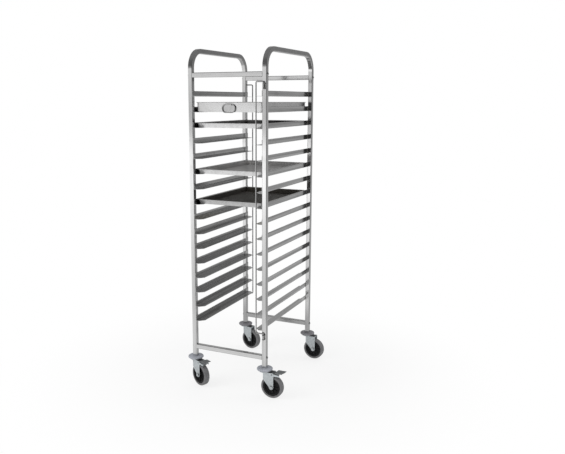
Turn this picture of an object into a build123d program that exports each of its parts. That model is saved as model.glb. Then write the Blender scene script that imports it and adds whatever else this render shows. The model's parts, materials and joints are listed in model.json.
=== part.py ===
from build123d import *
import math
import os

os.makedirs("parts", exist_ok=True)

# Frame: X across the front, Y towards the back, Z up, floor at Z = 0, millimetres
WIDTH = 454.0
DEPTH = 660.0
HEIGHT = 1850.0

# Square tube of the hoops and cross tubes
TUBE = 25.0
WALL = 1.5
TUBE_CORNER = 3.0
BEND = 92.5
INNER_CORNER = TUBE_CORNER - WALL
POST_X = (WIDTH - TUBE) / 2
POST_Y = (DEPTH - TUBE) / 2
INNER = WIDTH / 2 - TUBE

# Casters, from the floor up
WHEEL_D = 125.0
TYRE_W = 32.0
TYRE_SHOULDER = 6.0
TYRE_T = 12.0
CORE_D = WHEEL_D - 2 * TYRE_T
CORE_RIM = 10.0
CORE_W = 27.0
CORE_WEB = 15.0
HUB_D = 27.0
TRAIL = 46.0
AXLE_D = 10.0
AXLE_Z = WHEEL_D / 2
RUNNING_FIT = 0.05
SIDE_PLAY = 0.4
LEG_CLEAR = 2.0
LEG_INNER = TYRE_W / 2 + LEG_CLEAR
LEG_T = 2.5
LEG_OUTER = LEG_INNER + LEG_T
LEG_FRONT = 2.0
LEG_SHOULDER = 40.0
LEG_END_R = 12.5
CROWN_CLEAR = 17.0
CROWN_T = 7.7
CROWN_D = 60.0
PLATE_T = 4.0
FORK_BEND = 3.5
CROWN_Z = WHEEL_D + CROWN_CLEAR
SWIVEL_PLAY = 0.3
BUMPER_Z = CROWN_Z + CROWN_T + SWIVEL_PLAY
BUMPER_D = 86.0
BUMPER_T = 12.0
BUMPER_EDGE = 5.0
FOOT_Z = BUMPER_Z + BUMPER_T
KINGPIN_D = 14.0
KINGPIN_HEAD_D = 22.0
KINGPIN_HEAD_T = 5.0
PLUG_PLAY = 0.2
PLUG_H = 44.0
HEX_ACROSS = 17.0
HEX_T = 6.0
AXLE_PROUD = 2.0
AXLE_TIP = HEX_T + AXLE_PROUD

# Brake pedal, in the fork's own plane: U along the trail, Z up
PEDAL_SET_BACK = 3.0
PEDAL_DROP = 7.0
PEDAL_PIVOT_U = TRAIL + PEDAL_SET_BACK
PEDAL_PIVOT_Z = CROWN_Z - PEDAL_DROP
PEDAL_PIN_D = 6.0
PEDAL_T = 3.0
PEDAL_BACK = 10.0
PEDAL_SHORT = 1.5
PEDAL_KNEE_U = TRAIL + WHEEL_D / 2 - PEDAL_SHORT
PEDAL_STEP_L = 11.0
PEDAL_LIFT = 13.0
PEDAL_TIP_L = 16.0
PEDAL_TIP_U = PEDAL_KNEE_U + PEDAL_TIP_L
PEDAL_RISE = 7.0
PEDAL_SIDE_PLAY = 2.0
PEDAL_IN_W = 2 * (LEG_INNER - PEDAL_SIDE_PLAY)
PEDAL_OUT_W = 46.0
PEDAL_TIP_W = 20.0
PEDAL_BOSS_D = 11.0
SHOE_SET_BACK = 26.0
SHOE_U = TRAIL + SHOE_SET_BACK
SHOE_L = 14.0
SHOE_GAP = 6.5

# Skirt of a braked fork, behind its legs and under the pedal
SKIRT_L = 34.0
SKIRT_DROP = 2.0
SKIRT_FALL = 4.0
SKIRT_H = 12.0
SKIRT_R = 7.0
SKIRT_TOP_Z = CROWN_Z - SKIRT_DROP

# Place of each caster, and the heading of its trail in degrees from X
CASTERS = {
    "front_left": (-POST_X, -POST_Y, -24.0),
    "front_right": (POST_X, -POST_Y, 0.0),
    "rear_left": (-POST_X, POST_Y, -10.0),
    "rear_right": (POST_X, POST_Y, -2.0),
}
BRAKED = ("front_left", "front_right")

# Cross tubes and their bolts
BAR_LOW_RISE = 57.5
BAR_TOP_DROP = 139.5
BAR_LOW_Z = FOOT_Z + BAR_LOW_RISE
BAR_TOP_Z = HEIGHT - BAR_TOP_DROP
END_PLATE_T = 6.0
BOLT_D = 8.0
BOLT_HOLE = 8.4
BOLT_HEAD_D = 14.0
BOLT_HEAD_H = 5.0
BOLT_HEAD_EDGE = 4.0
BOLT_TIP = 4.0
BOLT_LENGTH = TUBE + END_PLATE_T + BOLT_TIP

# Runners
LEVELS = 16
LOWEST_RISE = 151.5
HIGHEST_DROP = 109.5
LOWEST_Z = BAR_LOW_Z + LOWEST_RISE
HIGHEST_Z = BAR_TOP_Z - HIGHEST_DROP
PITCH = (HIGHEST_Z - LOWEST_Z) / (LEVELS - 1)
RUN_T = 1.2
RUN_WEB = 28.0
RUN_FLANGE = 44.0
RUN_BEND = 2.4
RUN_CUT = 24.0
RUN_BENT_IN = RUN_BEND - RUN_T

# Retaining rods and their brackets
ROD_D = 7.0
ROD_BEND = 8.0
ROD_ARM = 42.0
ROD_OFF = 8.5
ROD_PIN = 38.0
ROD_TOP_DROP = 25.0
ROD_LOW_DROP = 13.0
ROD_TOP_Z = BAR_TOP_Z - TUBE / 2 - ROD_TOP_DROP
ROD_LOW_Z = LOWEST_Z - ROD_LOW_DROP
BRACKET_CLEAR = 1.0
BRACKET_DROP = ROD_BEND + BRACKET_CLEAR
BRACKET_H = 25.0
BRACKET_W = 14.0
BRACKET_T = 2.5
LUG_T = 3.0

# Trays and pan
SIDE_GAP = 4.0
FRONT_GAP = 25.0
REAR_GAP = 35.0
TRAY_L = DEPTH - FRONT_GAP - REAR_GAP
TRAY_W = 2 * INNER - 2 * SIDE_GAP
TRAY_T = 1.2
TRAY_H = 25.0
TRAY_LIP = 5.0
TRAY_FLARE = 6.0
TRAY_CORNER = 9.0
PAN_H = 50.0
PAN_CORNER = 9.0
PAN_LEVEL = 2
TRAY_LEVELS = {"upper_tray": 3, "middle_tray": 6, "lower_tray": 8}
TRAY_Y = (FRONT_GAP - REAR_GAP) / 2

# Drop handle on the pan
HANDLE_D = 5.0
HANDLE_W = 74.0
HANDLE_H = 40.5
HANDLE_R = 18.0
BARREL_D = 9.0
BARREL_CLEAR = 2.0
BARREL_L = HANDLE_W - 2 * HANDLE_R - 2 * BARREL_CLEAR
BARREL_DROP = 11.0
BACK_T = 1.5
BACK_MARGIN = 2.0
BACK_W = HANDLE_W + 2 * BACK_MARGIN
BACK_RISE = 4.5
BACK_FOOT = 3.0
BACK_H = PAN_H - BARREL_DROP + BACK_RISE - BACK_FOOT
BACK_R = 17.0


def level_z(level):
    """Underside of the runner flange at a level counted from the top."""
    return HIGHEST_Z - (level - 1) * PITCH


def rest_z(level):
    """Top of the runner flange, where a tray rests."""
    return level_z(level) + RUN_T


def side_name(side):
    return "left" if side < 0 else "right"


# Bolt places: origin on the outer face of a post, pointing outward
BOLT_PLACES = [
    Plane(origin=(sx * WIDTH / 2, sy * POST_Y, z), x_dir=(0, 0, 1), z_dir=(sx, 0, 0))
    for sx in (-1, 1)
    for sy in (-1, 1)
    for z in (BAR_LOW_Z, BAR_TOP_Z)
]


# Side hoops: one bent tube each, drilled at the four bolt places
for side in (-1, 1):
    side_plane = Plane.YZ.offset(side * POST_X)
    loop_z = HEIGHT - TUBE / 2
    with BuildPart() as hoop:
        with BuildLine(side_plane):
            FilletPolyline(
                (-POST_Y, FOOT_Z),
                (-POST_Y, loop_z),
                (POST_Y, loop_z),
                (POST_Y, FOOT_Z),
                radius=BEND,
            )
        with BuildSketch(Plane(origin=(side * POST_X, -POST_Y, FOOT_Z))):
            RectangleRounded(TUBE, TUBE, TUBE_CORNER)
            RectangleRounded(TUBE - 2 * WALL, TUBE - 2 * WALL, INNER_CORNER, mode=Mode.SUBTRACT)
        sweep()
        for place in BOLT_PLACES:
            if place.origin.X * side > 0:
                with BuildSketch(place):
                    Circle(BOLT_HOLE / 2)
                extrude(amount=-TUBE, mode=Mode.SUBTRACT)
    node = side_name(side) + "_hoop"
    hoop.part.label = node
    export_step(hoop.part, f"parts/{node}.step")


# Cross tubes between the hoops, closed by threaded end plates
BARS = {
    "top_front_bar": (-POST_Y, BAR_TOP_Z),
    "top_rear_bar": (POST_Y, BAR_TOP_Z),
    "bottom_front_bar": (-POST_Y, BAR_LOW_Z),
    "bottom_rear_bar": (POST_Y, BAR_LOW_Z),
}
for node, (bar_y, bar_z) in BARS.items():
    with BuildPart() as bar:
        with BuildSketch(Plane(origin=(0, bar_y, bar_z), x_dir=(0, 1, 0), z_dir=(1, 0, 0))):
            RectangleRounded(TUBE, TUBE, TUBE_CORNER)
        extrude(amount=INNER, both=True)
        with BuildSketch(Plane(origin=(0, bar_y, bar_z), x_dir=(0, 1, 0), z_dir=(1, 0, 0))):
            RectangleRounded(TUBE - 2 * WALL, TUBE - 2 * WALL, INNER_CORNER)
        extrude(amount=INNER - END_PLATE_T, both=True, mode=Mode.SUBTRACT)
        with BuildSketch(Plane(origin=(0, bar_y, bar_z), x_dir=(0, 1, 0), z_dir=(1, 0, 0))):
            Circle(BOLT_D / 2 + RUNNING_FIT)
        extrude(amount=INNER, both=True, mode=Mode.SUBTRACT)
    bar.part.label = node
    export_step(bar.part, f"parts/{node}.step")


# Dome head bolts
with BuildPart() as bolts:
    for place in BOLT_PLACES:
        with BuildSketch(place):
            Circle(BOLT_D / 2)
        extrude(amount=-BOLT_LENGTH)
        with BuildSketch(place):
            Circle(BOLT_HEAD_D / 2)
        extrude(amount=BOLT_HEAD_H)
        outward = Axis(place.origin, place.z_dir)
        fillet(edges(Select.LAST).group_by(outward)[-1], BOLT_HEAD_EDGE)
bolts.part.label = "crossbar_bolts"
export_step(bolts.part, "parts/crossbar_bolts.step")


# Runner pairs, one L runner on each side
for level in range(1, LEVELS + 1):
    z = level_z(level)
    with BuildPart() as runners:
        for side in (-1, 1):
            wall_x = side * INNER
            tip_x = side * (INNER - RUN_FLANGE)
            inside_x = side * (INNER - RUN_T)
            with BuildSketch(Plane.XZ) as section:
                with BuildLine():
                    Polyline(
                        (wall_x, z + RUN_WEB),
                        (wall_x, z),
                        (tip_x, z),
                        (tip_x, z + RUN_T),
                        (inside_x, z + RUN_T),
                        (inside_x, z + RUN_WEB),
                        close=True,
                    )
                make_face()
                heel = section.vertices().sort_by_distance((wall_x, z))[0]
                fillet(heel, RUN_BEND)
                throat = section.vertices().sort_by_distance((inside_x, z + RUN_T))[0]
                fillet(throat, RUN_BENT_IN)
            extrude(amount=DEPTH / 2, both=True)
            for end in (-1, 1):
                with BuildSketch(Plane.XY.offset(z)):
                    with BuildLine():
                        Polyline(
                            (tip_x, end * DEPTH / 2),
                            (tip_x + side * RUN_CUT, end * DEPTH / 2),
                            (tip_x, end * (DEPTH / 2 - RUN_CUT)),
                            close=True,
                        )
                    make_face()
                extrude(amount=RUN_T, mode=Mode.SUBTRACT)
    node = f"runner_pair_{level:02d}"
    runners.part.label = node
    export_step(runners.part, f"parts/{node}.step")


# Retaining rods: the front one hangs on the right post, the rear one on the left post
RETAINERS = {"front_retainer": 1, "rear_retainer": -1}
for node, side in RETAINERS.items():
    pivot_y = -side * (DEPTH / 2 + ROD_OFF)
    with BuildPart() as retainer:
        rod_plane = Plane(origin=(side * POST_X, pivot_y, 0), x_dir=(side, 0, 0), z_dir=(0, -side, 0))
        with BuildLine(rod_plane):
            FilletPolyline(
                (0, ROD_TOP_Z - ROD_PIN),
                (0, ROD_TOP_Z),
                (-ROD_ARM, ROD_TOP_Z),
                (-ROD_ARM, ROD_LOW_Z),
                (0, ROD_LOW_Z),
                (0, ROD_LOW_Z - ROD_PIN),
                radius=ROD_BEND,
            )
        with BuildSketch(Plane(origin=(side * POST_X, pivot_y, ROD_TOP_Z - ROD_PIN))):
            Circle(ROD_D / 2)
        sweep()
    retainer.part.label = node
    export_step(retainer.part, f"parts/{node}.step")


# U brackets for the rods: a back plate on the post and two drilled lugs
with BuildPart() as brackets:
    for side in RETAINERS.values():
        face_y = -side * DEPTH / 2
        pivot_y = -side * (DEPTH / 2 + ROD_OFF)
        for arm_z in (ROD_TOP_Z, ROD_LOW_Z):
            top_z = arm_z - BRACKET_DROP
            mid_z = top_z - BRACKET_H / 2
            back = Plane(origin=(side * POST_X, face_y, mid_z), x_dir=(side, 0, 0), z_dir=(0, -side, 0))
            with BuildSketch(back):
                Rectangle(BRACKET_W, BRACKET_H)
            extrude(amount=BRACKET_T)
            for lug_z in (top_z - LUG_T, top_z - BRACKET_H):
                with BuildSketch(Plane(origin=(side * POST_X, pivot_y, lug_z))):
                    Circle(BRACKET_W / 2)
                    with Locations((0, side * ROD_OFF / 2)):
                        Rectangle(BRACKET_W, ROD_OFF)
                    Circle(ROD_D / 2 + RUNNING_FIT, mode=Mode.SUBTRACT)
                extrude(amount=LUG_T)
brackets.part.label = "retainer_brackets"
export_step(brackets.part, "parts/retainer_brackets.step")


# Flat trays with flared sides and a narrow lip
for node, level in TRAY_LEVELS.items():
    z = rest_z(level)
    wall_w = TRAY_W - 2 * TRAY_LIP
    wall_l = TRAY_L - 2 * TRAY_LIP
    slope = TRAY_FLARE / TRAY_H
    wall_t = TRAY_T * math.hypot(1, slope)
    with BuildPart() as tray:
        for height in (0, TRAY_H):
            spread = 2 * slope * (TRAY_H - height)
            with BuildSketch(Plane(origin=(0, TRAY_Y, z + height))):
                RectangleRounded(wall_w - spread, wall_l - spread, TRAY_CORNER)
        loft()
        with BuildSketch(Plane(origin=(0, TRAY_Y, z + TRAY_H - TRAY_T))):
            RectangleRounded(TRAY_W, TRAY_L, TRAY_CORNER + TRAY_LIP)
        extrude(amount=TRAY_T)
        for height in (TRAY_T, TRAY_H + TRAY_T):
            spread = 2 * slope * (TRAY_H - height) + 2 * wall_t
            with BuildSketch(Plane(origin=(0, TRAY_Y, z + height))):
                RectangleRounded(wall_w - spread, wall_l - spread, TRAY_CORNER - TRAY_T)
        loft(mode=Mode.SUBTRACT)
    tray.part.label = node
    export_step(tray.part, f"parts/{node}.step")


# Deep pan with upright walls
pan_z = rest_z(PAN_LEVEL)
pan_front = TRAY_Y - TRAY_L / 2 + TRAY_LIP
with BuildPart() as pan:
    with BuildSketch(Plane(origin=(0, TRAY_Y, pan_z))):
        RectangleRounded(TRAY_W - 2 * TRAY_LIP, TRAY_L - 2 * TRAY_LIP, PAN_CORNER)
    extrude(amount=PAN_H)
    with BuildSketch(Plane(origin=(0, TRAY_Y, pan_z + PAN_H - TRAY_T))):
        RectangleRounded(TRAY_W, TRAY_L, PAN_CORNER + TRAY_LIP)
    extrude(amount=TRAY_T)
    with BuildSketch(Plane(origin=(0, TRAY_Y, pan_z + TRAY_T))):
        RectangleRounded(
            TRAY_W - 2 * TRAY_LIP - 2 * TRAY_T,
            TRAY_L - 2 * TRAY_LIP - 2 * TRAY_T,
            PAN_CORNER - TRAY_T,
        )
    extrude(amount=PAN_H, mode=Mode.SUBTRACT)
pan.part.label = "deep_pan"
export_step(pan.part, "parts/deep_pan.step")


# Drop handle: an oval back plate with a barrel on the pan front, and a closed ring that hangs in it
barrel_z = pan_z + PAN_H - BARREL_DROP
barrel_y = pan_front - BACK_T - BARREL_D / 2 + RUNNING_FIT
back_z = pan_z + BACK_FOOT + BACK_H / 2
with BuildPart() as barrel:
    with BuildSketch(Plane(origin=(0, pan_front, back_z), x_dir=(1, 0, 0), z_dir=(0, -1, 0))):
        RectangleRounded(BACK_W, BACK_H, BACK_R)
    extrude(amount=BACK_T)
    with BuildSketch(Plane(origin=(0, barrel_y, barrel_z), x_dir=(0, 1, 0), z_dir=(1, 0, 0))):
        Circle(BARREL_D / 2)
        with Locations((BARREL_D / 4, 0)):
            Rectangle(BARREL_D / 2, BARREL_D)
    extrude(amount=BARREL_L / 2, both=True)
    with BuildSketch(Plane(origin=(0, barrel_y, barrel_z), x_dir=(0, 1, 0), z_dir=(1, 0, 0))):
        Circle(HANDLE_D / 2 + RUNNING_FIT)
    extrude(amount=BARREL_L / 2, both=True, mode=Mode.SUBTRACT)
barrel.part.label = "pan_handle_barrel"
export_step(barrel.part, "parts/pan_handle_barrel.step")

with BuildPart() as handle:
    with BuildLine(Plane(origin=(0, barrel_y, barrel_z), x_dir=(1, 0, 0), z_dir=(0, -1, 0))):
        across_half = HANDLE_W / 2 - HANDLE_R
        low = -HANDLE_H + HANDLE_R
        Line((0, 0), (across_half, 0))
        CenterArc((across_half, -HANDLE_R), HANDLE_R, 90, -90)
        Line((HANDLE_W / 2, -HANDLE_R), (HANDLE_W / 2, low))
        CenterArc((across_half, low), HANDLE_R, 0, -90)
        Line((across_half, -HANDLE_H), (-across_half, -HANDLE_H))
        CenterArc((-across_half, low), HANDLE_R, 270, -90)
        Line((-HANDLE_W / 2, low), (-HANDLE_W / 2, -HANDLE_R))
        CenterArc((-across_half, -HANDLE_R), HANDLE_R, 180, -90)
        Line((-across_half, 0), (0, 0))
    with BuildSketch(Plane(origin=(0, barrel_y, barrel_z), x_dir=(0, 1, 0), z_dir=(1, 0, 0))):
        Circle(HANDLE_D / 2)
    sweep()
handle.part.label = "pan_handle"
export_step(handle.part, "parts/pan_handle.step")


# Casters
for corner, (cx, cy, heading) in CASTERS.items():
    along = Vector(math.cos(math.radians(heading)), math.sin(math.radians(heading)), 0)
    across = Vector(along.Y, -along.X, 0)
    # U along the trail, Z up, normal across the wheel
    fork_plane = Plane(origin=(cx, cy, 0), x_dir=along, z_dir=across)

    with BuildPart() as stem:
        with BuildSketch(Plane(origin=(cx, cy, FOOT_Z))):
            plug_side = TUBE - 2 * WALL - 2 * PLUG_PLAY
            RectangleRounded(plug_side, plug_side, INNER_CORNER)
        extrude(amount=PLUG_H)
        with BuildSketch(Plane(origin=(cx, cy, CROWN_Z - SWIVEL_PLAY))):
            Circle(KINGPIN_D / 2)
        extrude(amount=FOOT_Z - CROWN_Z + SWIVEL_PLAY)
        with BuildSketch(Plane(origin=(cx, cy, CROWN_Z - SWIVEL_PLAY))):
            Circle(KINGPIN_HEAD_D / 2)
        extrude(amount=-KINGPIN_HEAD_T)
    stem.part.label = corner + "_stem"
    export_step(stem.part, f"parts/{corner}_stem.step")

    with BuildPart() as bumper:
        with BuildSketch(Plane(origin=(cx, cy, BUMPER_Z))):
            Circle(BUMPER_D / 2)
        extrude(amount=BUMPER_T)
        rim = bumper.edges().filter_by(GeomType.CIRCLE).group_by(SortBy.RADIUS)[-1]
        fillet(rim, BUMPER_EDGE)
        with BuildSketch(Plane(origin=(cx, cy, BUMPER_Z))):
            Circle(KINGPIN_D / 2 + PLUG_PLAY)
        extrude(amount=BUMPER_T, mode=Mode.SUBTRACT)
    bumper.part.label = corner + "_bumper"
    export_step(bumper.part, f"parts/{corner}_bumper.step")

    with BuildPart() as fork:
        leg_back = TRAIL + LEG_END_R
        skirt_end = leg_back + SKIRT_L
        for sign in (-1, 1):
            with BuildSketch(fork_plane.offset(sign * (LEG_INNER + LEG_T / 2))) as leg:
                with BuildLine():
                    Polyline(
                        (-LEG_FRONT, CROWN_Z + PLATE_T),
                        (-LEG_FRONT, AXLE_Z + LEG_SHOULDER),
                        (TRAIL - LEG_END_R, AXLE_Z),
                        (leg_back, AXLE_Z),
                        (leg_back, CROWN_Z + PLATE_T),
                        close=True,
                    )
                make_face()
                if corner in BRAKED:
                    with BuildLine():
                        Polyline(
                            (leg_back - SKIRT_R, SKIRT_TOP_Z),
                            (leg_back, SKIRT_TOP_Z),
                            (skirt_end, SKIRT_TOP_Z - SKIRT_FALL),
                            (skirt_end, SKIRT_TOP_Z - SKIRT_H),
                            (leg_back - SKIRT_R, SKIRT_TOP_Z - SKIRT_H),
                            close=True,
                        )
                    make_face()
                    inner_corner = (leg_back, SKIRT_TOP_Z - SKIRT_H)
                    fillet(leg.vertices().sort_by_distance(inner_corner)[0], SKIRT_R)
                with Locations((TRAIL, AXLE_Z)):
                    Circle(LEG_END_R)
                    Circle(AXLE_D / 2 + RUNNING_FIT, mode=Mode.SUBTRACT)
                if corner in BRAKED:
                    with Locations((PEDAL_PIVOT_U, PEDAL_PIVOT_Z)):
                        Circle(PEDAL_PIN_D / 2 + RUNNING_FIT, mode=Mode.SUBTRACT)
            extrude(amount=LEG_T / 2, both=True)
        with BuildSketch(fork_plane):
            with BuildLine():
                Polyline(
                    (-LEG_FRONT, CROWN_Z),
                    (leg_back, CROWN_Z),
                    (leg_back, CROWN_Z + PLATE_T),
                    (-LEG_FRONT, CROWN_Z + PLATE_T),
                    close=True,
                )
            make_face()
        extrude(amount=LEG_OUTER, both=True)
        middle_u = (leg_back - LEG_FRONT) / 2
        for sign in (-1, 1):
            bend = fork_plane.from_local_coords((middle_u, CROWN_Z + PLATE_T, sign * LEG_OUTER))
            fillet(fork.edges().sort_by_distance(bend)[0], FORK_BEND)
        with BuildSketch(Plane(origin=(cx, cy, CROWN_Z))):
            Circle(CROWN_D / 2)
        extrude(amount=CROWN_T)
        with BuildSketch(Plane(origin=(cx, cy, CROWN_Z))):
            Circle(KINGPIN_D / 2 + RUNNING_FIT)
        extrude(amount=CROWN_T, mode=Mode.SUBTRACT)
    fork.part.label = corner + "_fork"
    export_step(fork.part, f"parts/{corner}_fork.step")

    with BuildPart() as axle:
        with BuildSketch(fork_plane.offset(LEG_OUTER)):
            with Locations((TRAIL, AXLE_Z)):
                Circle(AXLE_D / 2)
        extrude(amount=-2 * LEG_OUTER - AXLE_TIP)
        with BuildSketch(fork_plane.offset(LEG_OUTER)):
            with Locations((TRAIL, AXLE_Z)):
                RegularPolygon(HEX_ACROSS / 2, 6, major_radius=False)
        extrude(amount=HEX_T)
    axle_bolt = axle.part
    with BuildPart() as axle_nut:
        with BuildSketch(fork_plane.offset(-LEG_OUTER)):
            with Locations((TRAIL, AXLE_Z)):
                RegularPolygon(HEX_ACROSS / 2, 6, major_radius=False)
                Circle(AXLE_D / 2, mode=Mode.SUBTRACT)
        extrude(amount=-HEX_T)
    axle_set = Compound(children=[axle_bolt, axle_nut.part], label=corner + "_axle")
    export_step(axle_set, f"parts/{corner}_axle.step")

    wheel_centre = fork_plane.from_local_coords((TRAIL, AXLE_Z, 0))
    wheel_plane = Plane(origin=wheel_centre, x_dir=along, z_dir=across)
    with BuildPart() as core:
        with BuildSketch(wheel_plane):
            Circle(CORE_D / 2)
            Circle(CORE_D / 2 - CORE_RIM, mode=Mode.SUBTRACT)
        extrude(amount=CORE_W / 2, both=True)
        with BuildSketch(wheel_plane):
            Circle(CORE_D / 2 - CORE_RIM / 2)
        extrude(amount=CORE_WEB / 2, both=True)
        with BuildSketch(wheel_plane):
            Circle(HUB_D / 2)
        extrude(amount=LEG_INNER - SIDE_PLAY, both=True)
        with BuildSketch(wheel_plane):
            Circle(AXLE_D / 2 + RUNNING_FIT)
        extrude(amount=LEG_INNER, both=True, mode=Mode.SUBTRACT)
    core.part.label = corner + "_wheel_core"
    export_step(core.part, f"parts/{corner}_wheel_core.step")

    with BuildPart() as tyre:
        with BuildSketch(wheel_plane):
            Circle(WHEEL_D / 2)
        extrude(amount=TYRE_W / 2, both=True)
        shoulders = tyre.edges().filter_by(GeomType.CIRCLE)
        fillet(shoulders, TYRE_SHOULDER)
        with BuildSketch(wheel_plane):
            Circle(CORE_D / 2)
        extrude(amount=TYRE_W, both=True, mode=Mode.SUBTRACT)
    tyre.part.label = corner + "_tyre"
    export_step(tyre.part, f"parts/{corner}_tyre.step")

    if corner in BRAKED:
        plate_u = leg_back + LEG_T
        step_u = plate_u + PEDAL_STEP_L
        step_turn = math.atan2(PEDAL_LIFT, PEDAL_STEP_L)
        set_in = PEDAL_T * math.tan(step_turn / 2)
        knee_z = PEDAL_PIVOT_Z + PEDAL_LIFT
        shoe_u = SHOE_U - SHOE_L / 2
        shoe_run = shoe_u - plate_u + set_in / 2
        shoe_z = PEDAL_PIVOT_Z + PEDAL_T / 2 + shoe_run * math.tan(step_turn)
        with BuildPart() as pedal:
            with BuildSketch(fork_plane):
                with BuildLine():
                    Polyline(
                        (PEDAL_PIVOT_U - PEDAL_BACK, PEDAL_PIVOT_Z),
                        (plate_u, PEDAL_PIVOT_Z),
                        (step_u, knee_z),
                        (PEDAL_KNEE_U, knee_z),
                        (PEDAL_KNEE_U, knee_z + PEDAL_T),
                        (step_u - set_in, knee_z + PEDAL_T),
                        (plate_u - set_in, PEDAL_PIVOT_Z + PEDAL_T),
                        (PEDAL_PIVOT_U - PEDAL_BACK, PEDAL_PIVOT_Z + PEDAL_T),
                        close=True,
                    )
                make_face()
                with BuildLine():
                    Polyline(
                        (shoe_u, AXLE_Z),
                        (shoe_u + SHOE_L, AXLE_Z),
                        (shoe_u + SHOE_L, knee_z + PEDAL_T / 2),
                        (step_u, knee_z + PEDAL_T / 2),
                        (shoe_u, shoe_z),
                        close=True,
                    )
                make_face()
                with Locations((TRAIL, AXLE_Z)):
                    Circle(WHEEL_D / 2 + SHOE_GAP, mode=Mode.SUBTRACT)
                with Locations((PEDAL_PIVOT_U, PEDAL_PIVOT_Z)):
                    Circle(PEDAL_BOSS_D / 2)
            extrude(amount=PEDAL_IN_W / 2, both=True)
            with BuildSketch(fork_plane):
                with BuildLine():
                    Polyline(
                        (step_u, knee_z),
                        (PEDAL_KNEE_U, knee_z),
                        (PEDAL_TIP_U, knee_z + PEDAL_RISE),
                        (PEDAL_TIP_U, knee_z + PEDAL_RISE + PEDAL_T),
                        (PEDAL_KNEE_U, knee_z + PEDAL_T),
                        (step_u, knee_z + PEDAL_T),
                        close=True,
                    )
                make_face()
            extrude(amount=PEDAL_OUT_W / 2, both=True)
            with BuildSketch(Plane(origin=(cx, cy, knee_z), x_dir=fork_plane.x_dir)):
                for sign in (-1, 1):
                    with BuildLine():
                        Polyline(
                            (PEDAL_KNEE_U, sign * PEDAL_OUT_W / 2),
                            (PEDAL_TIP_U, sign * PEDAL_TIP_W / 2),
                            (PEDAL_TIP_U + PEDAL_T, sign * PEDAL_TIP_W / 2),
                            (PEDAL_TIP_U + PEDAL_T, sign * PEDAL_OUT_W),
                            (PEDAL_KNEE_U, sign * PEDAL_OUT_W),
                            close=True,
                        )
                    make_face()
            extrude(amount=PEDAL_RISE + 2 * PEDAL_T, both=True, mode=Mode.SUBTRACT)
            with BuildSketch(fork_plane):
                with Locations((PEDAL_PIVOT_U, PEDAL_PIVOT_Z)):
                    Circle(PEDAL_PIN_D / 2)
            extrude(amount=LEG_OUTER + LEG_T / 2, both=True)
        pedal.part.label = corner + "_brake_pedal"
        export_step(pedal.part, f"parts/{corner}_brake_pedal.step")
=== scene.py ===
import json
import math

import bmesh
import bpy
from mathutils import Matrix, Vector


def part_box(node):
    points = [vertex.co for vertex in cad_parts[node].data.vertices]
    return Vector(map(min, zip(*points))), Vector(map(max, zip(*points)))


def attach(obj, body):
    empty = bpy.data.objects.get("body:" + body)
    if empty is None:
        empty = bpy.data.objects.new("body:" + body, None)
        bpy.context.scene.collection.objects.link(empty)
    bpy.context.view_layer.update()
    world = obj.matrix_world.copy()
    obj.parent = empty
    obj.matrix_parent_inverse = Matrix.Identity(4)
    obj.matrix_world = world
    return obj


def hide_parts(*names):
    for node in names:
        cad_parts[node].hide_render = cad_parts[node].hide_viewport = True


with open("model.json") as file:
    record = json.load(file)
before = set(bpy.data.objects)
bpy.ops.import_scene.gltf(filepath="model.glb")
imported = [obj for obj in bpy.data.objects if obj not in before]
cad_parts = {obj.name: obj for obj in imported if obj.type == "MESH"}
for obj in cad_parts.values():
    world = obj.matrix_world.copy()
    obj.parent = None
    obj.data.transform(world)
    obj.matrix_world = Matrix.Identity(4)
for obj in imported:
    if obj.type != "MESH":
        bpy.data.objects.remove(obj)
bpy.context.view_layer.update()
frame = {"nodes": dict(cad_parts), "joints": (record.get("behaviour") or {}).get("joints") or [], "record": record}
nodes = frame["nodes"]
joints = {j["name"]: j for j in frame["joints"]}
scene = bpy.context.scene
scene.view_settings.view_transform = "Standard"

MM = 0.001
LEVELS = 16
CORNERS = ("front_left", "front_right", "rear_left", "rear_right")
BRAKED = ("front_left", "front_right")
CROSS_TUBES = ("top_front_bar", "top_rear_bar", "bottom_front_bar", "bottom_rear_bar")
FLOAT, WHOLE, VECTOR = "NodeSocketFloat", "NodeSocketInt", "NodeSocketVector"
ROTATION, OBJECT = "NodeSocketRotation", "NodeSocketObject"
MATERIAL, GEOMETRY = "NodeSocketMaterial", "NodeSocketGeometry"
WHITE = (1.0, 1.0, 1.0, 1.0)


# ---------------------------------------------------------------- nodes


def feed(tree, socket, value):
    """Links a socket to another, or gives it a plain value."""
    if isinstance(value, bpy.types.NodeSocket):
        tree.links.new(value, socket)
    else:
        socket.default_value = value


def put(tree, kind, inputs=None, **settings):
    """Adds a node with its settings; each input is a plain value or the socket that feeds it."""
    made = tree.nodes.new(kind)
    for name, value in settings.items():
        setattr(made, name, value)
    for key, value in (inputs or {}).items():
        feed(tree, made.inputs[key], value)
    return made


def sums(tree, operation, first, second=0.0):
    return put(tree, "ShaderNodeMath", {0: first, 1: second}, operation=operation).outputs[0]


def times(tree, first, second):
    return sums(tree, "MULTIPLY", first, second)


def plus(tree, base, extra, weight):
    """base + extra * weight"""
    return sums(tree, "ADD", base, times(tree, extra, weight))


def between(tree, value, low, high, to_low=0.0, to_high=1.0, smooth=True):
    """Maps value from low..high, held at both ends."""
    kind = "SMOOTHSTEP" if smooth else "LINEAR"
    ends = {0: value, 1: low, 2: high, 3: to_low, 4: to_high}
    return put(tree, "ShaderNodeMapRange", ends, interpolation_type=kind, clamp=True).outputs[0]


def blend_colour(tree, share, first, second):
    ends = {0: share, 6: first, 7: second}
    return put(tree, "ShaderNodeMix", ends, data_type="RGBA").outputs[2]


def blend_value(tree, share, first, second):
    ends = {0: share, 2: first, 3: second}
    return put(tree, "ShaderNodeMix", ends, data_type="FLOAT").outputs[0]


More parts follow.
